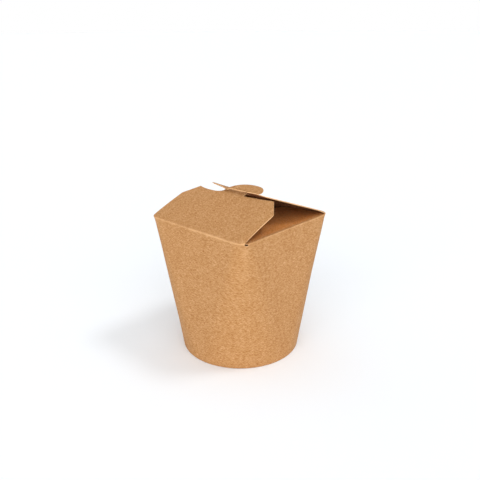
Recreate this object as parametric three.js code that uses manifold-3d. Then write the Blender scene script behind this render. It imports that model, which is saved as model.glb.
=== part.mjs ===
// A shut kraft-board takeaway box: a round foot that widens to a square mouth, closed by
// two inner flaps that slope down and two outer flaps that meet in a low ridge, where the
// front flap's hooked tongue comes up through a slot in the rear flap.
// Millimetres, +Z up, origin in the middle of the foot. The front flap is hinged at -X.

import * as THREE from 'three';
import { mergeVertices } from 'three/addons/utils/BufferGeometryUtils.js';
import Module from 'manifold-3d';

// Driving dimensions
const RIM_HEIGHT = 100;
const RIM_SIDE = 91;
const RIM_CORNER_RADIUS = 9;
const FOOT_RADIUS = 43;
const BOARD = 0.5;
const CLEARANCE = 0.3;

// Flaps: reaches are measured along the board from the hinge, widths from the middle line
const FRONT_TILT = THREE.MathUtils.degToRad(20);
const REAR_TILT = THREE.MathUtils.degToRad(21.2);
const INNER_FLAP_DROP = THREE.MathUtils.degToRad(5);
const HINGE_CORNER_TURN = THREE.MathUtils.degToRad(60);
const FLAP_SIDE_LENGTH = 33;
const FRONT_REACH = 45.4;
const FRONT_SIDES = { right: 43.5, left: 45.3 };
const FRONT_CLIPS = { right: 33.6, left: 37.2 };
const REAR_REACH = 51.5;
const REAR_SIDES = { right: 43.5, left: 43.5 };
const REAR_CLIPS = { right: 24, left: 27 };

// Tongue of the front flap, with a scoop to its left and a notch under its hook to the right
const SCOOP = new THREE.Vector2(43.3, 22);
const TONGUE_ROOT = new THREE.Vector2(48.3, 13.1);
const TONGUE_TIP = new THREE.Vector2(59.3, -5.5);
const HOOK_END = new THREE.Vector2(51.1, -17.6);
const NOTCH_END = new THREE.Vector2(45, -7.8);

// The slot in the rear flap that the tongue comes up through
const SLOT_NEAR = 45.6;
const SLOT_FAR = 48.9;
const SLOT_END_GAP = 0.7;

// Foot: the wall is hemmed inwards round a disc that sits just inside it
const HEM_THICKNESS = 1.4;
const DISC_UNDERSIDE = 3.6;

// The wall's corners are drawn on past the rim, and cut off at the flaps that they carry
const COLLAR_REACH = 1.05;
const COLLAR_DEPTH = 4;
const VALLEY_REACH = 1.1;

const CORNER_STEPS = 16;
const CURVE_STEPS = 10;

const RIM_HALF = RIM_SIDE / 2;
const CORNER_CENTRE = RIM_HALF - RIM_CORNER_RADIUS;
const CORNER_COLUMNS = CORNER_STEPS + 1;
const RECESS_RADIUS = FOOT_RADIUS - HEM_THICKNESS;

const wasm = await Module();
wasm.setup();

// Turns a closed three.js geometry into a solid for joining and cutting
function toSolid(geometry) {
  const bare = geometry.clone();
  bare.deleteAttribute('normal');
  bare.deleteAttribute('uv');
  const merged = mergeVertices(bare);
  return new wasm.Manifold(new wasm.Mesh({
    numProp: 3,
    vertProperties: new Float32Array(merged.attributes.position.array),
    triVerts: new Uint32Array(merged.index.array),
  }));
}

function toGeometry(solid) {
  const result = solid.getMesh();
  const geometry = new THREE.BufferGeometry();
  geometry.setAttribute('position', new THREE.BufferAttribute(result.vertProperties, 3));
  geometry.setIndex(new THREE.BufferAttribute(result.triVerts, 1));
  geometry.computeVertexNormals();
  return geometry;
}

// One ruling of the wall: a straight line from the foot's circle to the rounded rim, at two
// points whose outlines run the same way, so the board bends but never stretches
function ruling(column, inset, reach) {
  const corner = Math.floor(column / CORNER_COLUMNS);
  const step = column % CORNER_COLUMNS;
  const angle = (corner + step / CORNER_STEPS) * Math.PI / 2;
  const outward = new THREE.Vector3(Math.cos(angle), Math.sin(angle), 0);
  const middle = (corner + 0.5) * Math.PI / 2;
  const centre = new THREE.Vector3(Math.sign(Math.cos(middle)), Math.sign(Math.sin(middle)), 0)
    .multiplyScalar(CORNER_CENTRE);
  const foot = outward.clone().multiplyScalar(FOOT_RADIUS - inset);
  const rim = centre.addScaledVector(outward, RIM_CORNER_RADIUS - inset);
  rim.z = RIM_HEIGHT;
  return { foot, rim: foot.clone().lerp(rim, reach) };
}

// The wall filled solid, drawn in by the inset and carried up to reach times the rim height
function wallSolid(inset, reach) {
  const columns = 4 * CORNER_COLUMNS;
  const points = [];
  for (let column = 0; column < columns; column += 1) {
    const here = ruling(column, inset, reach);
    const next = ruling((column + 1) % columns, inset, reach);
    const bottom = new THREE.Vector3(0, 0, 0);
    const top = new THREE.Vector3(0, 0, RIM_HEIGHT * reach);
    points.push(here.foot, next.rim, here.rim);
    points.push(top, here.rim, next.rim);
    const sameFootPoint = column % CORNER_COLUMNS === CORNER_STEPS;
    if (!sameFootPoint) {
      points.push(here.foot, next.foot, next.rim);
      points.push(bottom, next.foot, here.foot);
    }
  }
  return toSolid(new THREE.BufferGeometry().setFromPoints(points));
}

// The space above the two inner flaps, which slope down from the left and right rims
function valleySolid() {
  const edge = RIM_HALF - BOARD;
  const top = RIM_HEIGHT * VALLEY_REACH;
  const section = new THREE.Shape();
  section.moveTo(-edge, RIM_HEIGHT);
  section.lineTo(0, RIM_HEIGHT - edge * Math.tan(INNER_FLAP_DROP));
  section.lineTo(edge, RIM_HEIGHT);
  section.lineTo(edge, top);
  section.lineTo(-edge, top);
  const geometry = new THREE.ExtrudeGeometry(section, { depth: RIM_SIDE, bevelEnabled: false });
  geometry.translate(0, 0, -RIM_HALF);
  geometry.rotateX(Math.PI / 2);
  geometry.rotateZ(Math.PI / 2);
  return toSolid(geometry);
}

// Both outer flaps start alike: x runs from the hinge to the free edge, and the hinge bends
// with the rim part of the way round its corners
function startFlap(reach, sides, clips) {
  const outline = new THREE.Shape();
  const radius = RIM_CORNER_RADIUS;
  const turn = Math.PI - HINGE_CORNER_TURN;
  outline.moveTo(reach, -clips.right);
  outline.lineTo(FLAP_SIDE_LENGTH, -sides.right);
  outline.absarc(radius, -CORNER_CENTRE, radius, -turn, Math.PI, true);
  outline.absarc(radius, CORNER_CENTRE, radius, Math.PI, turn, true);
  outline.lineTo(FLAP_SIDE_LENGTH, sides.left);
  outline.lineTo(reach, clips.left);
  return outline;
}

// The tongue hooks over towards -y
function frontOutline() {
  const outline = startFlap(FRONT_REACH, FRONT_SIDES, FRONT_CLIPS);
  const rootSlope = new THREE.Vector2(6.2, -2.1);
  const tipRounding = { left: 9, right: 7 };
  const hookRounding = 6;
  outline.quadraticCurveTo(SCOOP.x, FRONT_CLIPS.left, SCOOP.x, SCOOP.y);
  outline.quadraticCurveTo(SCOOP.x, TONGUE_ROOT.y, TONGUE_ROOT.x, TONGUE_ROOT.y);
  outline.bezierCurveTo(
    TONGUE_ROOT.x + rootSlope.x, TONGUE_ROOT.y + rootSlope.y,
    TONGUE_TIP.x, TONGUE_TIP.y + tipRounding.left,
    TONGUE_TIP.x, TONGUE_TIP.y,
  );
  outline.bezierCurveTo(
    TONGUE_TIP.x, TONGUE_TIP.y - tipRounding.right,
    HOOK_END.x + hookRounding, HOOK_END.y,
    HOOK_END.x, HOOK_END.y,
  );
  outline.lineTo(HOOK_END.x, NOTCH_END.y);
  outline.lineTo(NOTCH_END.x, NOTCH_END.y);
  return outline;
}

// The rear flap is drawn from its own hinge, so its y runs the other way from the front's
function rearOutline() {
  const outline = startFlap(REAR_REACH, REAR_SIDES, REAR_CLIPS);
  const slot = new THREE.Path();
  const slotRight = -TONGUE_ROOT.y - SLOT_END_GAP;
  const slotLeft = -NOTCH_END.y + SLOT_END_GAP;
  slot.moveTo(SLOT_NEAR, slotRight);
  slot.lineTo(SLOT_FAR, slotRight);
  slot.lineTo(SLOT_FAR, slotLeft);
  slot.lineTo(SLOT_NEAR, slotLeft);
  outline.holes.push(slot);
  return outline;
}

// A flap of flat board, its outer face tilted up from the hinge at the top of the wall
function flapSolid(outline, tilt, turn, thickness = BOARD) {
  const geometry = new THREE.ExtrudeGeometry(outline, {
    depth: thickness,
    bevelEnabled: false,
    curveSegments: CURVE_STEPS,
  });
  geometry.translate(0, 0, -thickness);
  geometry.rotateY(-tilt);
  geometry.translate(-RIM_HALF, 0, RIM_HEIGHT);
  geometry.rotateZ(turn);
  return toSolid(geometry);
}

function footRecessSolid() {
  const height = DISC_UNDERSIDE + BOARD + CLEARANCE;
  const geometry = new THREE.CylinderGeometry(RECESS_RADIUS, RECESS_RADIUS, 2 * height, 4 * CORNER_STEPS);
  geometry.rotateX(Math.PI / 2);
  return toSolid(geometry);
}

// A flap with the corners of the wall that rise to its underside, where its hinge bends round
function hingedFlapSolid(outline, tilt, turn) {
  const wallSheet = wallSolid(0, COLLAR_REACH).subtract(wallSolid(BOARD, COLLAR_REACH));
  const corners = flapSolid(outline, tilt, turn, COLLAR_DEPTH).intersect(wallSheet);
  return flapSolid(outline, tilt, turn).add(corners);
}

// Wall and flaps are one cut and folded blank
function cartonGeometry() {
  const valley = valleySolid().intersect(wallSolid(BOARD, COLLAR_REACH));
  const solid = wallSolid(0, 1)
    .subtract(valley)
    .subtract(footRecessSolid())
    .add(hingedFlapSolid(frontOutline(), FRONT_TILT, 0))
    .add(hingedFlapSolid(rearOutline(), REAR_TILT, Math.PI));
  return toGeometry(solid);
}

function discGeometry() {
  const radius = RECESS_RADIUS - CLEARANCE;
  const geometry = new THREE.CylinderGeometry(radius, radius, BOARD, 4 * CORNER_STEPS);
  geometry.rotateX(Math.PI / 2);
  return geometry;
}

function kraftBoard(colour) {
  return new THREE.MeshStandardMaterial({ color: colour, roughness: 0.85, metalness: 0 });
}

const box = new THREE.Group();

const carton = new THREE.Mesh(cartonGeometry(), kraftBoard(0xc8976a));
carton.name = 'carton';
box.add(carton);

const baseDisc = new THREE.Mesh(discGeometry(), kraftBoard(0xbf8e62));
baseDisc.name = 'base_disc';
baseDisc.position.z = DISC_UNDERSIDE + BOARD / 2;
box.add(baseDisc);

export default box;
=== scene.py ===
"""A shut noodle takeaway box of natural kraft board, on a pale floor.

The carton is one cut and folded blank: a wall that runs from a round foot to a square mouth, two
inner flaps that slope down, and two outer flaps locked by a hooked tongue in a slot. A disc closes
the foot. Everything is in metres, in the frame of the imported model.
"""
import math

import bmesh
import bpy
import numpy as np
from bpy.props import FloatProperty, FloatVectorProperty, PointerProperty
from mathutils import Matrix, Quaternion, Vector, noise
from mathutils.geometry import delaunay_2d_cdt


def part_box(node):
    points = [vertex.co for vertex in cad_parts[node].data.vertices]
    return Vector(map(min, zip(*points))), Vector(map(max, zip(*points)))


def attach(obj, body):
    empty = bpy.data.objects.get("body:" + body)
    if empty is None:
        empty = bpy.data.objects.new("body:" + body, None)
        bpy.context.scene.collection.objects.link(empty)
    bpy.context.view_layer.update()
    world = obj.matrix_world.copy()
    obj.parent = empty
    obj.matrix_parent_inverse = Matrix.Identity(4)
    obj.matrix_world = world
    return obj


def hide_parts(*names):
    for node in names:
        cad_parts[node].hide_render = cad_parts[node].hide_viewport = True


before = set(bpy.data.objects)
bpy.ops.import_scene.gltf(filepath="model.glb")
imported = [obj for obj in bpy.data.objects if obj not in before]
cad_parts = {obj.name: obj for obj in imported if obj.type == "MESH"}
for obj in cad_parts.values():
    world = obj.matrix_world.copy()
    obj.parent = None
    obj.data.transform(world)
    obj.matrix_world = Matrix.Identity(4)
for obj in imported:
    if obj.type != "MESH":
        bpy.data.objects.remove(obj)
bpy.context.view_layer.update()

bl_info = {
    "name": "Kraft noodle box",
    "version": (1, 0, 0),
    "blender": (4, 5, 0),
    "location": "3D View > Sidebar > Noodle box",
    "description": "Builds a shut kraft-board takeaway box on a pale floor",
    "category": "Object",
}

MM = 0.001

carton_low, carton_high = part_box("carton")
disc_low, disc_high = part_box("base_disc")

# The wall is a grid of columns, counted from the middle of the +X side towards +Y, and rows.
QUARTER_COLUMNS = 76
OUTER_HINGE_COLUMNS = 39
NOTCH_COLUMNS = 2
INNER_HINGE_COLUMNS = QUARTER_COLUMNS - OUTER_HINGE_COLUMNS - NOTCH_COLUMNS
SEAM_COLUMN = OUTER_HINGE_COLUMNS + 1
SEAM_END_COLUMN = SEAM_COLUMN + 4 * QUARTER_COLUMNS
LAP_COLUMNS = 8
LAP_RAMP_COLUMNS = 16
LAP_GAP = 0.06 * MM
LAP_TRIM_TOP = 3 * MM
LAP_TRIM_FOOT = 2 * MM
WALL_ROW_STEP = 2.5 * MM

# Crease: rows this far from it on both sides, the nearest of them bent round it. A crease in use
# rubs the board's face off and shows its pale core; the paleness painted along it is partly that
# wear and partly a painted highlight on the bend, and these shares set how much of it shows.
CREASE_ROWS = [0.16 * MM, 0.36 * MM, 0.7 * MM, 1.1 * MM, 1.6 * MM, 2.2 * MM]
CREASE_REACH = 0.7 * MM
CREASE_BEAD = 0.16 * MM
CREASE_FADE = 0.75 * MM
OUTER_CREASE_WEAR_AND_HIGHLIGHT = 0.75
INNER_CREASE_WEAR_AND_HIGHLIGHT = 0.45
CORNER_FLARE = 0.5 * MM
CORNER_FLARE_DEPTH = 1.3 * MM
# The cut between two flaps runs down from the rim to one of the crease rows
NOTCH_DEPTH = 1.6 * MM
# Painted shade on the inner flaps, a deeper colour for the shade under the outer flaps, is full
# this far beyond their creases
PAINTED_SHADE_START = 4 * MM

# Soft fold that runs down the wall from beside the end of each outer flap's hinge
FOLD_COLUMN = OUTER_HINGE_COLUMNS + 2
FOLD_HEIGHT = 0.4 * MM
FOLD_SOFT_WIDTH = 7 * MM
FOLD_SHARP_WIDTH = 1.3 * MM
FOLD_LENGTH = 68 * MM
# Painted light: the gentle side of each soft fold, under an outer flap, is painted this much paler
FOLD_PAINTED_LIGHT = 0.12

# Hem: the wall's foot is turned in and up
HEM_WIDTH = 1.4 * MM
HEM_TURN_STEPS = 6
HEM_HEIGHTS = [1.4 * MM, 2.4 * MM, 3.4 * MM, 4.3 * MM]
HEM_SEAM_STEP = 0.2 * MM
HEM_PLEAT_DEPTH = 0.16 * MM
HEM_PLEAT_LENGTH = 1.6 * MM

# Flap outlines: reach is measured along the board from the hinge, across from the flap's middle
# line, positive to the left of someone who looks from the hinge to the free edge
SIDE_REACH = 33 * MM
FRONT_REACH = 45.4 * MM
REAR_REACH = 51.5 * MM
SCOOP = (43.3 * MM, 22 * MM)
TONGUE_ROOT = (48.3 * MM, 13.1 * MM)
TONGUE_TIP = (59.3 * MM, -5.3 * MM)
HOOK_END = (51.1 * MM, -17.6 * MM)
NOTCH_END = (44.4 * MM, -6.7 * MM)
FRONT_RIGHT_CORNER = (SIDE_REACH, -43.5 * MM)
FRONT_RIGHT_CLIP = (FRONT_REACH + 0.4 * MM, -33.6 * MM)
FRONT_LEFT_CLIP = (FRONT_REACH, 37.2 * MM)
FRONT_LEFT_CORNER = (SIDE_REACH, 45.2 * MM)
REAR_RIGHT_CORNER = (SIDE_REACH, -42.3 * MM)
REAR_RIGHT_CLIP = (REAR_REACH, -22.4 * MM)
REAR_LEFT_CLIP = (REAR_REACH, 27 * MM)
REAR_LEFT_CORNER = (SIDE_REACH, 43.5 * MM)
# Handles of the curves round the tongue, measured from the points that they belong to
TONGUE_ROOT_HANDLE = (6.2 * MM, -2.1 * MM)
TONGUE_TIP_LEFT_HANDLE = 9 * MM
TONGUE_TIP_RIGHT_HANDLE = 7 * MM
HOOK_HANDLE = 6 * MM
HOOK_UNDERCUT = (-1.1 * MM, 2.5 * MM)
SCOOP_HANDLE = 6 * MM
SLOT_NEAR = 45.6 * MM
SLOT_FAR = 48.9 * MM
SLOT_END_GAP = 0.7 * MM
INNER_FLAP_GAP = 0.4 * MM
INNER_FLAP_SIDE_GAP = 2.2 * MM
INNER_FLAP_CORNER = 5 * MM
CLIP_ROUNDING = 1.1 * MM
OUTLINE_STEP = 1.3 * MM
FLAP_GRID_STEP = 1.6 * MM
FLAP_GRID_HALF_WIDTH = 46 * MM
GRID_CLEARANCE = 0.6 * MM
HINGE_PULL_LENGTH = 5 * MM

# How the locked edges bend each other out of flat. A dent in the rear flap deepens from its start
# to its bottom, and lets go again towards the free edge.
DENT_START = 25 * MM
DENT_BOTTOM = 45.8 * MM
DENT_RELEASE = 0.6
# Across, width, depth and squareness of the dents in the rear flap beside the tongue's neck
DENTS = ((-16.5 * MM, 5.5 * MM, 1.2 * MM, 2), (12 * MM, 9 * MM, 1.6 * MM, 4))
# Rise of the rear flap's right half: this times the reach and the square of the distance across,
# all in metres
RIGHT_RISE = 20.0
LIFT_START = 43 * MM
HOOK_LIFT = 0.45 * MM
HOOK_LIFT_ACROSS = 17 * MM
HOOK_LIFT_WIDTH = 6 * MM
NECK_DIP = 1.4 * MM
NECK_DIP_ACROSS = -10.5 * MM
NECK_DIP_WIDTH = 3.2 * MM
# Drop of the tongue: this times the square of the distance past the start, all in metres
TONGUE_BEND_START = 50 * MM
TONGUE_BEND = 7.5

# Base disc
DISC_COLUMNS = 128
DISC_RINGS = 14
DISC_EDGE_RADIUS = 0.6 * MM
DISC_EDGE_STEPS = 4
DISC_WARP = 0.5 * MM
DISC_WARP_LENGTH = 25 * MM

# Triangulation of a flap: keep what lies inside its loops, and merge points closer than this
KEEP_INSIDE = 1
MERGE_DISTANCE = 1e-7
SHARP_ANGLE = math.radians(38)

# Board pattern: sizes, and how much each counts in the tone. The fibres are about 2 mm long and
# 0.03 mm wide, too fine to show, so they are drawn as the coarser bundles that they lie in.
FORMATION_SIZE = 8 * MM
FORMATION_WEIGHT = 0.15
MOTTLE_SIZE = 1.0 * MM
MOTTLE_WEIGHT = 0.5
FIBRE_LENGTH = 2.6 * MM
FIBRE_WIDTH = 0.65 * MM
# How far, in radians, each layer of fibres is turned from the grain
FIBRE_TURNS = (0.75, -0.65, 0.1)
FIBRE_WEIGHT = 0.4
MOTTLE_SPREAD = 0.24
FLECK_SIZE = 1.0 * MM
FLECK_START = 0.64
FLECK_FULL = 0.74
FLECK_STRENGTH = 0.45
GRAIN_SIZE = 0.6 * MM
BUMP_HEIGHT = 0.05 * MM
FILM_BUMP_SHARE = 1 / 3
KRAFT_IOR = 1.5
FACE_ROUGHNESS = 0.82
EDGE_ROUGHNESS = 0.9
FILM_ROUGHNESS = 0.8

# Stage
FLOOR_RADIUS = 12.0
FLOOR_SIDES = 96
FLOOR_TONE_SIZE = 250 * MM
FLOOR_ROUGHNESS = (0.85, 0.95)
BOX_MIDDLE = Vector((0, 0, 50 * MM))
CAMERA_AZIMUTH = math.radians(-46.6)
CAMERA_ELEVATION = math.radians(24.08)
CAMERA_DISTANCE = 440.9 * MM
CAMERA_AIM_RISE = 28.5 * MM
CAMERA_ROLL = math.radians(-0.4)
CAMERA_LENS = 44.64
CAMERA_CLIP_START = CAMERA_DISTANCE / 100
# Height on a unit sphere over which the backdrop dims from the horizon to the sky
SKY_BAND = (0.04, 0.10)
# Azimuth, elevation and spread of each soft light; azimuth 0 is at -Y and a quarter turn at +X
SOFT_LIGHTS = {
    "left": (math.radians(-60), math.radians(10), math.radians(75)),
    "front": (math.radians(-30), math.radians(12), math.radians(75)),
    "back": (math.radians(180), math.radians(12), math.radians(75)),
    "ceiling": (math.radians(38), math.radians(62), math.radians(14)),
}

# Unevenness of hand-folded board
WALL_WARP = 0.22 * MM
WALL_WARP_LENGTH = 42 * MM
FLAP_WARP = 0.3 * MM
FLAP_WARP_LENGTH = 30 * MM


# ---------------------------------------------------------------------------------- settings

def linear_from_hex(text):
    """An sRGB hex colour as linear red, green, blue and alpha."""
    channels = [int(text[i:i + 2], 16) / 255 for i in (1, 3, 5)]
    linear = [c / 12.92 if c <= 0.04045 else ((c + 0.055) / 1.055) ** 2.4 for c in channels]
    return (*linear, 1.0)


class BoxSizes(bpy.types.PropertyGroup):
    """Sizes of the folded box."""
    rim_height: FloatProperty(
        name="Rim height", description="From the floor to the creases of the flaps",
        default=100 * MM, unit="LENGTH")
    rim_side: FloatProperty(
        name="Mouth side", description="Width of the square mouth at the rim",
        default=carton_high.x - carton_low.x, unit="LENGTH")
    rim_corner_radius: FloatProperty(
        name="Mouth corner radius", description="Rounding of the mouth's corners",
        default=9 * MM, unit="LENGTH")
    foot_radius: FloatProperty(
        name="Foot radius", description="Radius of the round foot",
        default=43 * MM, unit="LENGTH")
    board: FloatProperty(
        name="Board thickness", description="Thickness of the kraft board",
        default=disc_high.z - disc_low.z, unit="LENGTH")
    front_tilt: FloatProperty(
        name="Front flap tilt", description="Rise of the front flap towards its free edge",
        default=math.radians(20), subtype="ANGLE")
    front_twist: FloatProperty(
        name="Front flap twist", description="How much less the front flap rises at its left end",
        default=math.radians(1.6), subtype="ANGLE")
    rear_tilt: FloatProperty(
        name="Rear flap tilt", description="Rise of the rear flap towards its free edge",
        default=math.radians(21.2), subtype="ANGLE")
    inner_drop: FloatProperty(
        name="Inner flap drop", description="Slope of the inner flaps down towards the middle",
        default=math.radians(5), subtype="ANGLE")


class BoardColours(bpy.types.PropertyGroup):
    """Colours of the kraft board."""
    face: FloatVectorProperty(
        name="Board face", description="Colour of the outer face of the board",
        subtype="COLOR", size=4, min=0, max=1, default=linear_from_hex("#B1804B"))
    fibre: FloatVectorProperty(
        name="Dark fibre", description="Colour of the darker fibres in the board",
        subtype="COLOR", size=4, min=0, max=1, default=linear_from_hex("#965E28"))
    pale: FloatVectorProperty(
        name="Pale fibre", description="Colour of the paler fibres in the board",
        subtype="COLOR", size=4, min=0, max=1, default=linear_from_hex("#CB9E71"))
    # The cut edges' pale colour is partly the board's paler core and partly a painted highlight,
    # bright enough that the thin lit edges show
    edge: FloatVectorProperty(
        name="Cut edge", description="Colour of the board's cut edges",
        subtype="COLOR", size=4, min=0, max=1, default=linear_from_hex("#EBBC88"))
    # Painted shade: this warmer, deeper brown is mixed onto the inner flaps to stand in for their
    # shade and bounced light under the outer flaps
    painted_shade_tone: FloatVectorProperty(
        name="Inner flaps",
        description="Colour of the inner flaps, which light and air bleach less",
        subtype="COLOR", size=4, min=0, max=1, default=linear_from_hex("#D58538"))
    # The lined inner face's deeper brown is partly its own colour and partly painted shade for the
    # flaps' shaded undersides
    lining_with_painted_shade: FloatVectorProperty(
        name="Lined face", description="Colour of the board's film-lined inner face",
        subtype="COLOR", size=4, min=0, max=1, default=linear_from_hex("#7E431F"))


class StageLook(bpy.types.PropertyGroup):
    """Floor and lights round the box."""
    floor: FloatVectorProperty(
        name="Floor", description="Colour of the floor",
        subtype="COLOR", size=4, min=0, max=1, default=linear_from_hex("#F5F9FD"))
    horizon: FloatProperty(
        name="Horizon", description="Strength of the pale backdrop near the horizon",
        default=1.0, min=0)
    sky: FloatProperty(
        name="Sky", description="Strength of the pale backdrop above the horizon",
        default=0.65, min=0)
    left: FloatProperty(
        name="Left light", description="Strength of the broad, low light from the left",
        default=2.0, min=0)
    front: FloatProperty(
        name="Front light", description="Strength of the broad, low light from the front",
        default=1.15, min=0)
    back: FloatProperty(
        name="Back light", description="Strength of the broad, low light from the back",
        default=0.3, min=0)
    ceiling: FloatProperty(
        name="Ceiling light", description="Strength of the high light that casts the shadow",
        default=0.61, min=0)


# ------------------------------------------------------------------------------------- board

def clamp(share):
    return min(max(share, 0.0), 1.0)


def smooth(share):
    """Eases from 0 to 1."""
    share = clamp(share)
    return share * share * (3 - 2 * share)


def nothing(reach, across):
    """A lift or a painted shade that is none all over the flap."""
    return 0.0


class BoardShape:
    """The outer face of the folded blank, worked out from the sizes."""

    def __init__(self, sizes):
        self.rim_height = sizes.rim_height
        self.rim_half = sizes.rim_side / 2 - CREASE_BEAD
        self.corner_radius = sizes.rim_corner_radius
        self.corner_centre = self.rim_half - self.corner_radius
        self.foot_radius = sizes.foot_radius
        self.lap_step = sizes.board + LAP_GAP

    def outline(self, column, height):
        """Point of the wall's outline at a height, and the level direction that it faces."""
        share = height / self.rim_height
        radius = self.foot_radius + (self.corner_radius - self.foot_radius) * share
        centre = self.corner_centre * share
        quarter, step = divmod(column, QUARTER_COLUMNS)
        length = 2 * centre + radius * math.pi / 2
        along = length * step / QUARTER_COLUMNS - centre
        turn = min(max(along / radius, 0), math.pi / 2)
        slide = along - turn * radius
        point = Vector((
            centre + radius * math.cos(turn) - max(slide, 0),
            centre + radius * math.sin(turn) + min(slide, 0),
            0,
        ))
        spin = Quaternion((0, 0, 1), quarter * math.pi / 2)
        facing = spin @ Vector((math.cos(turn), math.sin(turn), 0))
        point = spin @ point
        point.z = height
        return point, facing, turn

    def inset(self, column):
        """How far the board draws in towards the glued seam, where it passes under the lap."""
        before_seam = SEAM_END_COLUMN - 1 - column
        return self.lap_step * smooth(1 - before_seam / LAP_RAMP_COLUMNS)

    def fold(self, column, depth):
        """How much a place on the wall has of the nearest corner's soft fold, and its distance from
        the fold: positive under an outer flap, where the fold is gentle."""
        quarter, step = divmod(column, QUARTER_COLUMNS)
        if quarter % 2:
            step = QUARTER_COLUMNS - step
        spacing = (2 * self.corner_centre + self.corner_radius * math.pi / 2) / QUARTER_COLUMNS
        away = (FOLD_COLUMN - step) * spacing
        width = FOLD_SOFT_WIDTH if away > 0 else FOLD_SHARP_WIDTH
        return smooth(1 - depth / FOLD_LENGTH) * math.exp(-abs(away) / width), away

    def wall(self, column, height):
        """Point of the wall's outer face."""
        point, facing, turn = self.outline(column, height)
        depth = self.rim_height - height
        ridge = FOLD_HEIGHT * self.fold(column, depth)[0]
        flare = CORNER_FLARE * math.sin(2 * turn) ** 2 * math.exp(-depth / CORNER_FLARE_DEPTH)
        fade = min(height, depth) / WALL_WARP_LENGTH
        hollow = WALL_WARP * min(2 * fade, 1) * (1 + noise.noise(point / WALL_WARP_LENGTH))
        return point + facing * (flare + ridge - hollow - self.inset(column))

    def crease(self, column, toward_flap):
        """Control points of the bend at the rim: on the wall, at the crease and on the flap."""
        rim = self.wall(column, self.rim_height)
        below = self.wall(column, self.rim_height - CREASE_REACH)
        flap = rim + toward_flap.normalized() * CREASE_REACH
        outward = (rim - (below + flap) / 2).normalized()
        return below, rim + outward * CREASE_BEAD * 2, flap


def bend(controls, distance):
    """Point of the rounded crease, distance being negative on the wall and positive on the flap."""
    start, middle, end = controls
    share = (distance + CREASE_REACH) / (2 * CREASE_REACH)
    return start * (1 - share) ** 2 + middle * 2 * share * (1 - share) + end * share ** 2


class Flap:
    """One flap, mapped from its flat cut outline to its place on the box."""

    def __init__(self, shape, side, hinge_columns, tilt, twist=0.0, crease_wear_and_highlight=OUTER_CREASE_WEAR_AND_HIGHLIGHT,
                 lift=nothing, shelter=nothing):
        self.shape = shape
        self.side = side
        self.tilt = tilt
        self.twist = twist
        self.lift = lift
        self.crease_wear_and_highlight = crease_wear_and_highlight
        self.shelter = shelter
        spin = Quaternion((0, 0, 1), side * math.pi / 2)
        self.outward = spin @ Vector((1, 0, 0))
        self.along = spin @ Vector((0, 1, 0))
        middle = side * QUARTER_COLUMNS
        if middle < SEAM_COLUMN:
            middle += 4 * QUARTER_COLUMNS
        self.columns = list(range(middle - hinge_columns, middle + hinge_columns + 1))
        # Where each column meets the flap, which way is inward there, and how far the rim stands
        # off the flat flap
        self.hinge = []
        self.pulls = []
        for column in self.columns:
            nominal, facing, _ = shape.outline(column, shape.rim_height)
            across = -nominal.dot(self.along)
            depth = shape.rim_half - nominal.dot(self.outward)
            reach = depth / math.cos(self.angle(across))
            inward = Vector((facing.dot(self.outward), facing.dot(self.along)))
            self.hinge.append((reach, across, inward))
            rim = shape.wall(column, shape.rim_height)
            self.pulls.append(rim - self.plane(reach, across))
        self.hinge_reach, self.hinge_across, _ = (part[::-1] for part in zip(*self.hinge))
        self.pull_axes = [part[::-1] for part in zip(*self.pulls)]
        # Way in which each column's board leaves the crease
        self.leaving = {
            column: self.place(reach + CREASE_REACH * inward.x, across + CREASE_REACH * inward.y)
            - shape.wall(column, shape.rim_height)
            for column, (reach, across, inward) in zip(self.columns, self.hinge)
        }

    def angle(self, across):
        return self.tilt - self.twist * across / self.shape.rim_half

    def plane(self, reach, across):
        """The flap as a flat, slightly twisted board."""
        angle = self.angle(across)
        depth = reach * math.cos(angle)
        point = self.outward * (self.shape.rim_half - depth) - self.along * across
        point.z = self.shape.rim_height + reach * math.sin(angle)
        return point

    def place(self, reach, across):
        """The flap's outer face, pulled to the crease near the hinge and gently uneven beyond."""
        from_hinge = reach - np.interp(across, self.hinge_across, self.hinge_reach)
        pull = Vector([np.interp(across, self.hinge_across, axis) for axis in self.pull_axes])
        point = self.plane(reach, across) + pull * math.exp(-max(from_hinge, 0) / HINGE_PULL_LENGTH)
        seed = Vector((reach, across, self.side * FLAP_WARP_LENGTH)) / FLAP_WARP_LENGTH
        point.z += FLAP_WARP * noise.noise(seed) * min(from_hinge / FLAP_WARP_LENGTH, 1)
        point.z += self.lift(reach, across)
        return point


# -------------------------------------------------------------------------------- outlines

def line_points(start, end):
    """Points from start up to, but not including, end."""
    steps = max(1, round(math.dist(start, end) / OUTLINE_STEP))
    return [tuple(Vector(start).lerp(Vector(end), i / steps)) for i in range(steps)]


def curve_points(*controls):
    """Points of a Bezier curve up to, but not including, its end."""
    steps = max(4, round(sum(map(math.dist, controls, controls[1:])) / OUTLINE_STEP))
    degree = len(controls) - 1
    points = []
    for i in range(steps):
        share = i / steps
        weights = [
            math.comb(degree, k) * share ** k * (1 - share) ** (degree - k)
            for k in range(degree + 1)
        ]
        points.append(tuple(sum(w * c[axis] for w, c in zip(weights, controls)) for axis in (0, 1)))
    return points


def rounded_path(corners):
    """A path through corners with each inner one slightly rounded, without its last point."""
    points = []
    here = corners[0]
    for corner, after in zip(corners[1:], corners[2:]):
        arrive = Vector(corner) + (Vector(here) - Vector(corner)).normalized() * CLIP_ROUNDING
        leave = Vector(corner) + (Vector(after) - Vector(corner)).normalized() * CLIP_ROUNDING
        points += line_points(here, arrive) + curve_points(arrive, corner, leave)
        here = tuple(leave)
    return points + line_points(here, corners[-1])


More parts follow.
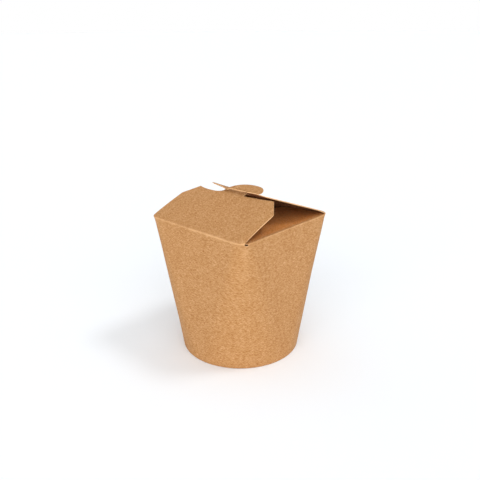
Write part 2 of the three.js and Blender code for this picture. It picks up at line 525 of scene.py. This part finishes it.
def front_outline(start, end):
    """Free edges of the front flap, from the right end of its hinge to the left end."""
    root_handle = (TONGUE_ROOT[0] + TONGUE_ROOT_HANDLE[0], TONGUE_ROOT[1] + TONGUE_ROOT_HANDLE[1])
    tip_left = (TONGUE_TIP[0], TONGUE_TIP[1] + TONGUE_TIP_LEFT_HANDLE)
    tip_right = (TONGUE_TIP[0], TONGUE_TIP[1] - TONGUE_TIP_RIGHT_HANDLE)
    hook_handle = (HOOK_END[0] + HOOK_HANDLE, HOOK_END[1])
    hook_foot = (HOOK_END[0] + HOOK_UNDERCUT[0], HOOK_END[1] + HOOK_UNDERCUT[1])
    notch_top = (hook_foot[0], NOTCH_END[1])
    scoop_handle = (SCOOP[0], FRONT_LEFT_CLIP[1] - SCOOP_HANDLE)
    right = rounded_path([start, FRONT_RIGHT_CORNER, FRONT_RIGHT_CLIP, NOTCH_END])
    tongue = [
        *curve_points(HOOK_END, hook_handle, tip_right, TONGUE_TIP),
        *curve_points(TONGUE_TIP, tip_left, root_handle, TONGUE_ROOT),
        *curve_points(TONGUE_ROOT, (SCOOP[0], TONGUE_ROOT[1]), SCOOP),
    ]
    left = [
        *curve_points(SCOOP, scoop_handle, FRONT_LEFT_CLIP),
        *rounded_path([FRONT_LEFT_CLIP, FRONT_LEFT_CORNER, end]),
    ]
    notch = line_points(NOTCH_END, notch_top) + line_points(notch_top, hook_foot)
    return right + notch + line_points(hook_foot, HOOK_END) + tongue + left


def rear_outline(start, end):
    """Free edges of the rear flap, from the right end of its hinge to the left end."""
    return rounded_path([
        start, REAR_RIGHT_CORNER, REAR_RIGHT_CLIP, REAR_LEFT_CLIP, REAR_LEFT_CORNER, end])


def rear_slot():
    """The slot in the rear flap: the tongue's neck with a little room at both ends."""
    right = -TONGUE_ROOT[1] - SLOT_END_GAP
    left = -NOTCH_END[1] + SLOT_END_GAP
    corners = [(SLOT_NEAR, right), (SLOT_FAR, right), (SLOT_FAR, left), (SLOT_NEAR, left)]
    points = []
    for here, after in zip(corners, corners[1:] + corners[:1]):
        points += line_points(here, after)
    return points


def inner_outline(shape):
    """Outline of an inner flap: as wide as the mouth lets in, and ending short of the middle."""
    half = shape.rim_half - INNER_FLAP_SIDE_GAP
    reach = shape.rim_half - INNER_FLAP_GAP
    shoulder = shape.corner_radius
    corner = INNER_FLAP_CORNER

    def outline(start, end):
        return rounded_path([
            start, (shoulder, -half), (reach - corner, -half), (reach, corner - half),
            (reach, half - corner), (reach - corner, half), (shoulder, half), end])
    return outline


def rear_lift(reach, across):
    """The rear flap is dented on both sides of the tongue's neck, and its free edge curls up."""
    into = smooth((reach - DENT_START) / (DENT_BOTTOM - DENT_START))
    beyond = clamp((reach - DENT_BOTTOM) / (REAR_REACH - DENT_BOTTOM)) ** DENT_RELEASE
    dents = (into - beyond) * sum(
        depth * math.exp(-abs((across - middle) / width) ** squareness)
        for middle, width, depth, squareness in DENTS)
    near_edge = clamp((reach - LIFT_START) / (REAR_REACH - LIFT_START)) ** 3
    over_hook = HOOK_LIFT * math.exp(-((across - HOOK_LIFT_ACROSS) / HOOK_LIFT_WIDTH) ** 2)
    by_neck = NECK_DIP * math.exp(-((across - NECK_DIP_ACROSS) / NECK_DIP_WIDTH) ** 2)
    right_rise = RIGHT_RISE * reach * min(across, 0) ** 2
    return right_rise - dents + near_edge * (over_hook - by_neck)


def front_lift(reach, across):
    """The tongue flattens a little past the slot that it comes through."""
    past = max(reach - TONGUE_BEND_START, 0)
    return -TONGUE_BEND * past * past


def inner_painted_shade(reach, across):
    """Painted shade over the whole of an inner flap beyond its crease, where the outer flaps shade
    it.
    """
    return min(reach / PAINTED_SHADE_START, 1)


def inside(points, loop):
    """Which points lie inside a closed loop, by counting crossings."""
    result = np.zeros(len(points), bool)
    for (x0, y0), (x1, y1) in zip(loop, np.roll(loop, -1, axis=0)):
        crosses = (y0 > points[:, 1]) != (y1 > points[:, 1])
        if y0 != y1:
            at = x0 + (points[:, 1] - y0) * (x1 - x0) / (y1 - y0)
            result ^= crosses & (points[:, 0] < at)
    return result


def edge_distance(points, loop):
    """Distance of each point from the nearest edge of a closed loop."""
    nearest = np.full(len(points), np.inf)
    for start, end in zip(loop, np.roll(loop, -1, axis=0)):
        span = end - start
        share = (points - start) @ span / max(span @ span, MERGE_DISTANCE ** 2)
        share = np.clip(share, 0, 1)
        away = points - start - share[:, None] * span
        nearest = np.minimum(nearest, np.linalg.norm(away, axis=1))
    return nearest


# ------------------------------------------------------------------------------ mesh helpers

class Sheet:
    """A board sheet under construction, with its place on the flat blank in metres."""

    def __init__(self):
        self.mesh = bmesh.new()
        self.crease = self.mesh.verts.layers.float.new("crease")
        # Share of the painted shade on each vertex, read by the board material
        self.shelter = self.mesh.verts.layers.float.new("shelter")
        self.uv = self.mesh.loops.layers.uv.new("cut_blank")

    def vertex(self, point, crease=0.0, shelter=0.0):
        vertex = self.mesh.verts.new(point)
        vertex[self.crease] = crease
        vertex[self.shelter] = shelter
        return vertex

    def face(self, corners):
        """Adds a face from pairs of a vertex and its place on the flat blank."""
        face = self.mesh.faces.new([vertex for vertex, _ in corners])
        for loop, (_, place) in zip(face.loops, corners):
            loop[self.uv].uv = place


def crease_weight(distance):
    return math.exp(-(distance / CREASE_FADE) ** 2)


def add_wall(sheet, shape, flaps):
    """Adds the wall and its hem, and returns the vertices along the rim by column."""
    away = {column: way for flap in flaps for column, way in flap.leaving.items()}
    owner = {column: flap for flap in flaps for column in flap.columns}
    body = np.linspace(
        CREASE_ROWS[-1], shape.rim_height - HEM_WIDTH / 2, round(shape.rim_height / WALL_ROW_STEP))
    depths = [0.0, *CREASE_ROWS[:-1], *body]
    width = math.tau * shape.foot_radius / (4 * QUARTER_COLUMNS)
    grid = {}
    for column in range(SEAM_COLUMN, SEAM_END_COLUMN + LAP_COLUMNS + 1):
        hinged = column in away
        grid[column] = []
        for depth in depths:
            point = shape.wall(column, shape.rim_height - depth)
            if hinged and depth < CREASE_REACH:
                point = bend(shape.crease(column, away[column]), -depth)
            # Paleness along the crease: partly wear of the bent board, partly a painted highlight
            # on the bend
            crease = owner[column].crease_wear_and_highlight * crease_weight(depth) if hinged else 0.0
            fold, from_fold = shape.fold(column, depth)
            # Painted light: the gentle side of the fold is painted paler
            if from_fold >= 0:
                crease = max(crease, FOLD_PAINTED_LIGHT * fold)
            vertex = sheet.vertex(point, crease)
            grid[column].append((vertex, (column * width, depth)))
        # The hem's rows are about a millimetre apart on the flat blank
        for row, point in enumerate(hem_points(shape, column)):
            grid[column].append((sheet.vertex(point), (column * width, depths[-1] + row * MM)))
    notch_rows = depths.index(NOTCH_DEPTH)
    trimmed = [
        row for row, depth in enumerate(depths)
        if depth < LAP_TRIM_TOP or depth > shape.rim_height - LAP_TRIM_FOOT
    ]
    for column in range(SEAM_COLUMN, SEAM_END_COLUMN + LAP_COLUMNS):
        here, after = grid[column], grid[column + 1]
        notched = owner.get(column) != owner.get(column + 1)
        for row in range(len(here) - 1):
            if notched and row < notch_rows:
                continue
            if column >= SEAM_END_COLUMN and (row in trimmed or row >= len(depths) - 1):
                continue
            sheet.face([here[row], here[row + 1], after[row + 1], after[row]])
    return {column: corners[0][0] for column, corners in grid.items()}


def hem_points(shape, column):
    """The foot's edge, turned in round a small bend and up inside the wall."""
    foot, facing, _ = shape.outline(column, 0)
    inset = shape.inset(column)
    tucked = inset / shape.lap_step
    width = HEM_WIDTH + HEM_SEAM_STEP * tucked
    half_width = (width - inset) / 2
    points = []
    for step in range(1, HEM_TURN_STEPS + 1):
        turn = math.pi * step / HEM_TURN_STEPS
        point = foot - facing * (inset + half_width * (1 - math.cos(turn)))
        point.z = HEM_WIDTH / 2 * (1 - math.sin(turn))
        points.append(point)
    for height in HEM_HEIGHTS:
        pleat = HEM_PLEAT_DEPTH * (1 - tucked) * (noise.noise(foot / HEM_PLEAT_LENGTH) - 1) / 2
        point = foot - facing * (width + pleat)
        point.z = height
        points.append(point)
    return points


def rows_beyond_hinge(flap):
    """Rows that follow the hinge's bend: each place on the flap, its point, crease and painted
    shade.
    """
    rows = []
    for column, (reach, across, inward) in zip(flap.columns, flap.hinge):
        controls = flap.shape.crease(column, flap.leaving[column])
        for distance in CREASE_ROWS:
            depth = reach * math.cos(flap.angle(across)) + distance * inward.x
            place = (depth / math.cos(flap.angle(across)), across + distance * inward.y)
            point = flap.place(*place)
            if distance < CREASE_REACH:
                point = bend(controls, distance)
            rows.append((place, point, flap.crease_wear_and_highlight * crease_weight(distance), flap.shelter(*place)))
    return rows


def grid_on_flap(loop, hinge, hole):
    """Places of an even grid that keep clear of the flap's edges, crease rows and hole."""
    edge = np.array(loop)
    steps = [
        np.arange(0, edge[:, 0].max(), FLAP_GRID_STEP),
        np.arange(-FLAP_GRID_HALF_WIDTH, FLAP_GRID_HALF_WIDTH, FLAP_GRID_STEP),
    ]
    grid = np.stack(np.meshgrid(*steps, indexing="ij"), -1).reshape(-1, 2)
    keep = inside(grid, edge) & (edge_distance(grid, edge) > GRID_CLEARANCE)
    keep &= edge_distance(grid, np.array(hinge)) > CREASE_ROWS[-1] + GRID_CLEARANCE
    if hole:
        rim = np.array(hole)
        keep &= ~inside(grid, rim) & (edge_distance(grid, rim) > GRID_CLEARANCE)
    return [tuple(place) for place in grid[keep]]


def add_flap(sheet, flap, rim, outline, hole=()):
    """Adds a flap cut to its outline, sharing its hinge's vertices with the rim of the wall."""
    hinge = [(reach, across) for reach, across, _ in flap.hinge]
    loop = hinge[:-1] + outline(hinge[-1], hinge[0])
    near = rows_beyond_hinge(flap)
    places = [*loop, *hole, *(place for place, *_ in near), *grid_on_flap(loop, hinge, hole)]
    known = {i: rim[column] for i, column in enumerate(flap.columns)}
    for i, (_, point, crease, shelter) in enumerate(near, len(loop) + len(hole)):
        known[i] = sheet.vertex(point, crease, shelter)
    borders = [(i, (i + 1) % len(loop)) for i in range(len(loop))]
    borders += [(len(loop) + i, len(loop) + (i + 1) % len(hole)) for i in range(len(hole))]
    flat, _, triangles, origins, _, _ = delaunay_2d_cdt(
        [Vector(place) for place in places], borders, [], KEEP_INSIDE, MERGE_DISTANCE)
    if hole:
        middles = np.array([sum((flat[i] for i in t), Vector((0, 0))) / 3 for t in triangles])
        triangles = [t for t, cut in zip(triangles, inside(middles, np.array(hole))) if not cut]
    made = []
    for place, sources in zip(flat, origins):
        vertex = next((known[source] for source in sources if source in known), None)
        made.append(vertex or sheet.vertex(flap.place(*place), shelter=flap.shelter(*place)))
    for triangle in triangles:
        sheet.face([(made[i], (flat[i].y, flat[i].x)) for i in triangle])


def board_object(name, sheet, thickness, materials):
    """Turns a sheet into a board with its outer, cut-edge and inner faces in three materials."""
    raw = bpy.data.meshes.new(name)
    loose = [vertex for vertex in sheet.mesh.verts if not vertex.link_faces]
    bmesh.ops.delete(sheet.mesh, geom=loose, context="VERTS")
    sheet.mesh.to_mesh(raw)
    sheet.mesh.free()
    board = bpy.data.objects.new(name, raw)
    bpy.context.scene.collection.objects.link(board)
    for material in materials:
        raw.materials.append(material)
    thick = board.modifiers.new("board thickness", "SOLIDIFY")
    thick.thickness = thickness
    thick.offset = -1
    thick.use_even_offset = True
    thick.use_quality_normals = True
    thick.material_offset_rim = 1
    thick.material_offset = 2
    graph = bpy.context.evaluated_depsgraph_get()
    solid = bpy.data.meshes.new_from_object(board.evaluated_get(graph))
    board.modifiers.clear()
    board.data = solid
    bpy.data.meshes.remove(raw)
    solid.name = name
    solid.polygons.foreach_set("use_smooth", [True] * len(solid.polygons))
    solid.set_sharp_from_angle(angle=SHARP_ANGLE)
    return board


# --------------------------------------------------------------------------------- materials

def add_node(tree, kind, settings=None, values=None, links=None):
    """Adds a node with its settings, socket values and links from other sockets."""
    node = tree.nodes.new(kind)
    for name, value in (settings or {}).items():
        setattr(node, name, value)
    for socket, value in (values or {}).items():
        node.inputs[socket].default_value = value
    for socket, source in (links or {}).items():
        tree.links.new(source, node.inputs[socket])
    return node


# Sockets of a Mix node that mixes colours
MIX_SHARE, MIX_START, MIX_END, MIX_RESULT = 0, 6, 7, 2


def empty_material(name):
    material = bpy.data.materials.new(name)
    material.use_nodes = True
    material.node_tree.nodes.clear()
    return material


def board_material(
        name, base, dark, pale, worn_and_lit, roughness, bump_height=BUMP_HEIGHT, painted_shade_tone=None):
    """Natural kraft board: brown wood fibre pressed flat, so it is matt, finely mottled where the
    fibres clump, flecked by stray dark fibres, and paler along creases: partly where a crease has
    stretched it and partly a painted highlight on the bend, with painted light on one side of each
    soft fold. Given a painted shade tone, it turns a warmer, deeper brown as painted shade where
    another flap shades it."""
    material = empty_material(name)
    tree = material.node_tree
    place = add_node(tree, "ShaderNodeTexCoord")
    all_weights = FORMATION_WEIGHT + MOTTLE_WEIGHT + len(FIBRE_TURNS) * FIBRE_WEIGHT
    formation = add_node(
        tree, "ShaderNodeTexNoise", values={"Scale": 1 / FORMATION_SIZE, "Detail": 2.0},
        links={"Vector": place.outputs["Object"]})
    mottle = add_node(
        tree, "ShaderNodeTexNoise",
        values={"Scale": 1 / MOTTLE_SIZE, "Detail": 3.0, "Roughness": 0.6},
        links={"Vector": place.outputs["Object"]})
    total = add_node(
        tree, "ShaderNodeMath", {"operation": "MULTIPLY_ADD"},
        {1: FORMATION_WEIGHT, 2: (1 - all_weights) / 2},
        {0: formation.outputs["Fac"]})
    total = add_node(
        tree, "ShaderNodeMath", {"operation": "MULTIPLY_ADD"}, {1: MOTTLE_WEIGHT},
        {0: mottle.outputs["Fac"], 2: total.outputs["Value"]})
    for turn in FIBRE_TURNS:
        stretched = add_node(
            tree, "ShaderNodeMapping", {"vector_type": "TEXTURE"},
            {"Rotation": (0, 0, turn), "Scale": (FIBRE_LENGTH, FIBRE_WIDTH, 1)},
            links={"Vector": place.outputs["UV"]})
        fibre = add_node(
            tree, "ShaderNodeTexNoise", values={"Scale": 1.0, "Detail": 1.0},
            links={"Vector": stretched.outputs["Vector"]})
        total = add_node(
            tree, "ShaderNodeMath", {"operation": "MULTIPLY_ADD"}, {1: FIBRE_WEIGHT},
            {0: fibre.outputs["Fac"], 2: total.outputs["Value"]})
    darker = add_node(
        tree, "ShaderNodeMapRange", values={"From Min": 0.5, "From Max": 0.5 - MOTTLE_SPREAD},
        links={"Value": total.outputs["Value"]})
    paler = add_node(
        tree, "ShaderNodeMapRange", values={"From Min": 0.5, "From Max": 0.5 + MOTTLE_SPREAD},
        links={"Value": total.outputs["Value"]})
    colour = add_node(
        tree, "ShaderNodeMix", {"data_type": "RGBA"}, {MIX_START: base, MIX_END: dark},
        {MIX_SHARE: darker.outputs["Result"]})
    # Painted shade: the base is mixed towards the deeper shade tone by each vertex's share
    if painted_shade_tone:
        shelter = add_node(tree, "ShaderNodeAttribute", {"attribute_name": "shelter"})
        base_and_painted_shade = add_node(
            tree, "ShaderNodeMix", {"data_type": "RGBA"}, {MIX_START: base, MIX_END: painted_shade_tone},
            {MIX_SHARE: shelter.outputs["Fac"]})
        tree.links.new(base_and_painted_shade.outputs[MIX_RESULT], colour.inputs[MIX_START])
    colour = add_node(
        tree, "ShaderNodeMix", {"data_type": "RGBA"}, {MIX_END: pale},
        {MIX_SHARE: paler.outputs["Result"], MIX_START: colour.outputs[MIX_RESULT]})
    fleck = add_node(
        tree, "ShaderNodeTexNoise", values={"Scale": 1 / FLECK_SIZE, "Detail": 1.0},
        links={"Vector": place.outputs["Object"]})
    fleck = add_node(
        tree, "ShaderNodeMapRange",
        values={"From Min": FLECK_START, "From Max": FLECK_FULL, "To Max": FLECK_STRENGTH},
        links={"Value": fleck.outputs["Fac"]})
    colour = add_node(
        tree, "ShaderNodeMix", {"data_type": "RGBA"}, {MIX_END: dark},
        {MIX_SHARE: fleck.outputs["Result"], MIX_START: colour.outputs[MIX_RESULT]})
    # Crease paleness: partly worn board, partly a painted highlight on the bends, plus painted
    # light on one side of each soft fold
    crease = add_node(tree, "ShaderNodeAttribute", {"attribute_name": "crease"})
    worn_and_lit_share = add_node(
        tree, "ShaderNodeMath", {"operation": "MULTIPLY", "use_clamp": True}, {},
        {0: crease.outputs["Fac"], 1: formation.outputs["Fac"]})
    colour = add_node(
        tree, "ShaderNodeMix", {"data_type": "RGBA"}, {MIX_END: worn_and_lit},
        {MIX_SHARE: worn_and_lit_share.outputs["Value"], MIX_START: colour.outputs[MIX_RESULT]})
    grain = add_node(
        tree, "ShaderNodeTexNoise", values={"Scale": 1 / GRAIN_SIZE, "Detail": 2.0},
        links={"Vector": place.outputs["Object"]})
    height = add_node(
        tree, "ShaderNodeMath", {"operation": "ADD"}, {},
        {0: grain.outputs["Fac"], 1: total.outputs["Value"]})
    bump = add_node(
        tree, "ShaderNodeBump", values={"Strength": 1.0, "Distance": bump_height},
        links={"Height": height.outputs["Value"]})
    shader = add_node(
        tree, "ShaderNodeBsdfPrincipled", values={"Roughness": roughness, "IOR": KRAFT_IOR},
        links={"Base Color": colour.outputs[MIX_RESULT], "Normal": bump.outputs["Normal"]})
    add_node(tree, "ShaderNodeOutputMaterial", links={"Surface": shader.outputs["BSDF"]})
    return material


def floor_material(look):
    """White acrylic sheet, matt-sanded: even and pale, with a soft, clear shadow."""
    material = empty_material("sanded_white_acrylic_sheet")
    tree = material.node_tree
    place = add_node(tree, "ShaderNodeTexCoord")
    tone = add_node(
        tree, "ShaderNodeTexNoise", values={"Scale": 1 / FLOOR_TONE_SIZE, "Detail": 2.0},
        links={"Vector": place.outputs["Object"]})
    rough = add_node(
        tree, "ShaderNodeMapRange",
        values={"To Min": FLOOR_ROUGHNESS[0], "To Max": FLOOR_ROUGHNESS[1]},
        links={"Value": tone.outputs["Fac"]})
    shader = add_node(
        tree, "ShaderNodeBsdfPrincipled", values={"Base Color": look.floor[:]},
        links={"Roughness": rough.outputs["Result"]})
    add_node(tree, "ShaderNodeOutputMaterial", links={"Surface": shader.outputs["BSDF"]})
    return material


# --------------------------------------------------------------------------------- operators

class NOODLEBOX_OT_carton(bpy.types.Operator):
    """Build the folded carton: wall, hem, inner flaps and locked outer flaps"""
    bl_idname = "noodlebox.carton"
    bl_label = "Folded carton"

    def execute(self, context):
        settings = context.scene.noodle_box
        sizes, colours = settings.sizes, settings.colours
        shape = BoardShape(sizes)
        # Sides are numbered in turn from +X towards +Y
        rear_side, far_side, front_side, near_side = range(4)
        rear = Flap(shape, rear_side, OUTER_HINGE_COLUMNS, sizes.rear_tilt, lift=rear_lift)
        front = Flap(
            shape, front_side, OUTER_HINGE_COLUMNS, sizes.front_tilt, sizes.front_twist,
            lift=front_lift)
        inner = [
            Flap(
                shape, side, INNER_HINGE_COLUMNS, -sizes.inner_drop, crease_wear_and_highlight=INNER_CREASE_WEAR_AND_HIGHLIGHT,
                shelter=inner_painted_shade)
            for side in (far_side, near_side)
        ]
        sheet = Sheet()
        rim = add_wall(sheet, shape, [rear, front, *inner])
        add_flap(sheet, rear, rim, rear_outline, rear_slot())
        add_flap(sheet, front, rim, front_outline)
        for flap in inner:
            add_flap(sheet, flap, rim, inner_outline(shape))
        face = board_material(
            "pressed_kraft_board", colours.face[:], colours.fibre[:], colours.pale[:],
            colours.edge[:], FACE_ROUGHNESS, painted_shade_tone=colours.painted_shade_tone[:])
        # Cut edges: the paler core, brightened as a painted highlight
        edge = board_material(
            "die_cut_kraft_edge", colours.edge[:], colours.face[:], colours.pale[:],
            colours.edge[:], EDGE_ROUGHNESS)
        # Inner faces: the lined colour, darkened partly as painted shade
        lining_with_painted_shade = board_material(
            "film_lined_kraft_board", colours.lining_with_painted_shade[:], colours.fibre[:], colours.face[:],
            colours.pale[:], FILM_ROUGHNESS, BUMP_HEIGHT * FILM_BUMP_SHARE)
        carton = board_object("folded_carton", sheet, sizes.board, [face, edge, lining_with_painted_shade])
        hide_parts("carton")
        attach(carton, "root")
        return {"FINISHED"}


class NOODLEBOX_OT_base_disc(bpy.types.Operator):
    """Build the disc that closes the foot, with its edge turned down into the hem"""
    bl_idname = "noodlebox.base_disc"
    bl_label = "Base disc"

    def execute(self, context):
        settings = context.scene.noodle_box
        colours = settings.colours
        radius = disc_high.x
        sheet = Sheet()
        profile = [(radius * i / DISC_RINGS, 0.0) for i in range(1, DISC_RINGS)]
        for step in range(DISC_EDGE_STEPS + 1):
            turn = math.pi / 2 * step / DISC_EDGE_STEPS
            profile.append((
                radius - DISC_EDGE_RADIUS * (1 - math.sin(turn)),
                DISC_EDGE_RADIUS * (math.cos(turn) - 1),
            ))
        rings = []
        for reach, drop in profile:
            ring = []
            for column in range(DISC_COLUMNS):
                turn = math.tau * column / DISC_COLUMNS
                point = Vector((reach * math.cos(turn), reach * math.sin(turn), 0))
                sag = DISC_WARP * noise.noise(point / DISC_WARP_LENGTH) * (1 - reach / radius)
                point.z = disc_high.z + drop + sag
                ring.append((sheet.vertex(point), (point.x, point.y)))
            rings.append(ring)
        middle = (sheet.vertex((0, 0, disc_high.z)), (0.0, 0.0))
        for column in range(DISC_COLUMNS):
            after = (column + 1) % DISC_COLUMNS
            sheet.face([middle, rings[0][column], rings[0][after]])
            for inner, outer in zip(rings, rings[1:]):
                sheet.face([inner[column], outer[column], outer[after], inner[after]])
        board = board_material(
            "pressed_kraft_base_board", colours.face[:], colours.fibre[:], colours.pale[:],
            colours.edge[:], FACE_ROUGHNESS)
        edge = board_material(
            "die_cut_kraft_base_edge", colours.edge[:], colours.face[:], colours.pale[:],
            colours.edge[:], EDGE_ROUGHNESS)
        disc = board_object("base_board", sheet, settings.sizes.board, [board, edge, board])
        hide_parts("base_disc")
        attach(disc, "root")
        return {"FINISHED"}


class NOODLEBOX_OT_stage(bpy.types.Operator):
    """Set the box on a pale floor with soft lights and a camera"""
    bl_idname = "noodlebox.stage"
    bl_label = "Floor, lights and camera"

    def execute(self, context):
        look = context.scene.noodle_box.stage
        bpy.ops.mesh.primitive_circle_add(
            vertices=FLOOR_SIDES, radius=FLOOR_RADIUS, fill_type="NGON")
        floor = context.object
        floor.name = "studio_floor"
        floor.data.materials.append(floor_material(look))
        for name, (azimuth, elevation, spread) in SOFT_LIGHTS.items():
            light = bpy.data.lights.new(f"{name}_light", "SUN")
            light.angle = spread
            light.energy = getattr(look, name)
            hang_light(light, azimuth, elevation)
        context.scene.world = backdrop(look)
        context.scene.view_settings.view_transform = "Standard"
        camera = make_camera()
        context.scene.collection.objects.link(camera)
        context.scene.camera = camera
        return {"FINISHED"}


def hang_light(light, azimuth, elevation):
    """Hangs a light round the box, aimed at it."""
    direction = from_middle(azimuth, elevation)
    holder = bpy.data.objects.new(light.name, light)
    holder.location = BOX_MIDDLE + direction
    holder.rotation_mode = "QUATERNION"
    holder.rotation_quaternion = (-direction).to_track_quat("-Z", "Y")
    bpy.context.scene.collection.objects.link(holder)


def backdrop(look):
    """A pale backdrop that is brightest at the horizon."""
    world = bpy.data.worlds.new("studio_backdrop")
    world.use_nodes = True
    tree = world.node_tree
    tree.nodes.clear()
    place = add_node(tree, "ShaderNodeTexCoord")
    axes = add_node(tree, "ShaderNodeSeparateXYZ", links={"Vector": place.outputs["Generated"]})
    band = add_node(
        tree, "ShaderNodeMapRange", {"interpolation_type": "SMOOTHSTEP"},
        {"From Min": SKY_BAND[0], "From Max": SKY_BAND[1],
         "To Min": look.horizon, "To Max": look.sky},
        {"Value": axes.outputs["Z"]})
    sky = add_node(
        tree, "ShaderNodeBackground", values={"Color": (1, 1, 1, 1)},
        links={"Strength": band.outputs["Result"]})
    add_node(tree, "ShaderNodeOutputWorld", links={"Surface": sky.outputs["Background"]})
    return world


def from_middle(azimuth, elevation):
    """Direction from the box towards something at an azimuth (0 is in front, at -Y) and height."""
    level = math.cos(elevation)
    return Vector((
        math.sin(azimuth) * level, -math.cos(azimuth) * level, math.sin(elevation)))


def make_camera():
    """The camera, a step away from the box's front corner and above it."""
    lens = bpy.data.cameras.new("camera")
    lens.lens = CAMERA_LENS
    lens.clip_start = CAMERA_CLIP_START
    lens.clip_end = FLOOR_RADIUS * 3
    camera = bpy.data.objects.new("camera", lens)
    back = from_middle(CAMERA_AZIMUTH, CAMERA_ELEVATION)
    above = from_middle(CAMERA_AZIMUTH, CAMERA_ELEVATION + math.pi / 2)
    target = BOX_MIDDLE + above * CAMERA_AIM_RISE
    camera.location = BOX_MIDDLE + back * CAMERA_DISTANCE
    camera.rotation_mode = "QUATERNION"
    aim = (target - camera.location).to_track_quat("-Z", "Y")
    camera.rotation_quaternion = aim @ Quaternion((0, 0, 1), CAMERA_ROLL)
    return camera


class NOODLEBOX_PT_panel(bpy.types.Panel):
    """Lists the sizes, colours and lights of the box, and the steps that build it"""
    bl_idname = "NOODLEBOX_PT_panel"
    bl_label = "Noodle box"
    bl_space_type = "VIEW_3D"
    bl_region_type = "UI"
    bl_category = "Noodle box"

    def draw(self, context):
        settings = context.scene.noodle_box
        for group in (settings.sizes, settings.colours, settings.stage):
            box = self.layout.box()
            for name in group.bl_rna.properties.keys():
                if name not in ("rna_type", "name"):
                    box.prop(group, name)
        for operator in OPERATORS:
            self.layout.operator(operator.bl_idname)


class NoodleBoxSettings(bpy.types.PropertyGroup):
    """All settings of the box and its stage."""
    sizes: PointerProperty(type=BoxSizes)
    colours: PointerProperty(type=BoardColours)
    stage: PointerProperty(type=StageLook)


OPERATORS = (NOODLEBOX_OT_stage, NOODLEBOX_OT_carton, NOODLEBOX_OT_base_disc)
CLASSES = (BoxSizes, BoardColours, StageLook, NoodleBoxSettings, *OPERATORS, NOODLEBOX_PT_panel)


def register():
    for cls in CLASSES:
        bpy.utils.register_class(cls)
    bpy.types.Scene.noodle_box = PointerProperty(type=NoodleBoxSettings)


def unregister():
    del bpy.types.Scene.noodle_box
    for cls in reversed(CLASSES):
        bpy.utils.unregister_class(cls)


def main():
    register()
    bpy.ops.noodlebox.stage()
    bpy.ops.noodlebox.carton()
    bpy.ops.noodlebox.base_disc()


if __name__ == "__main__":
    main()
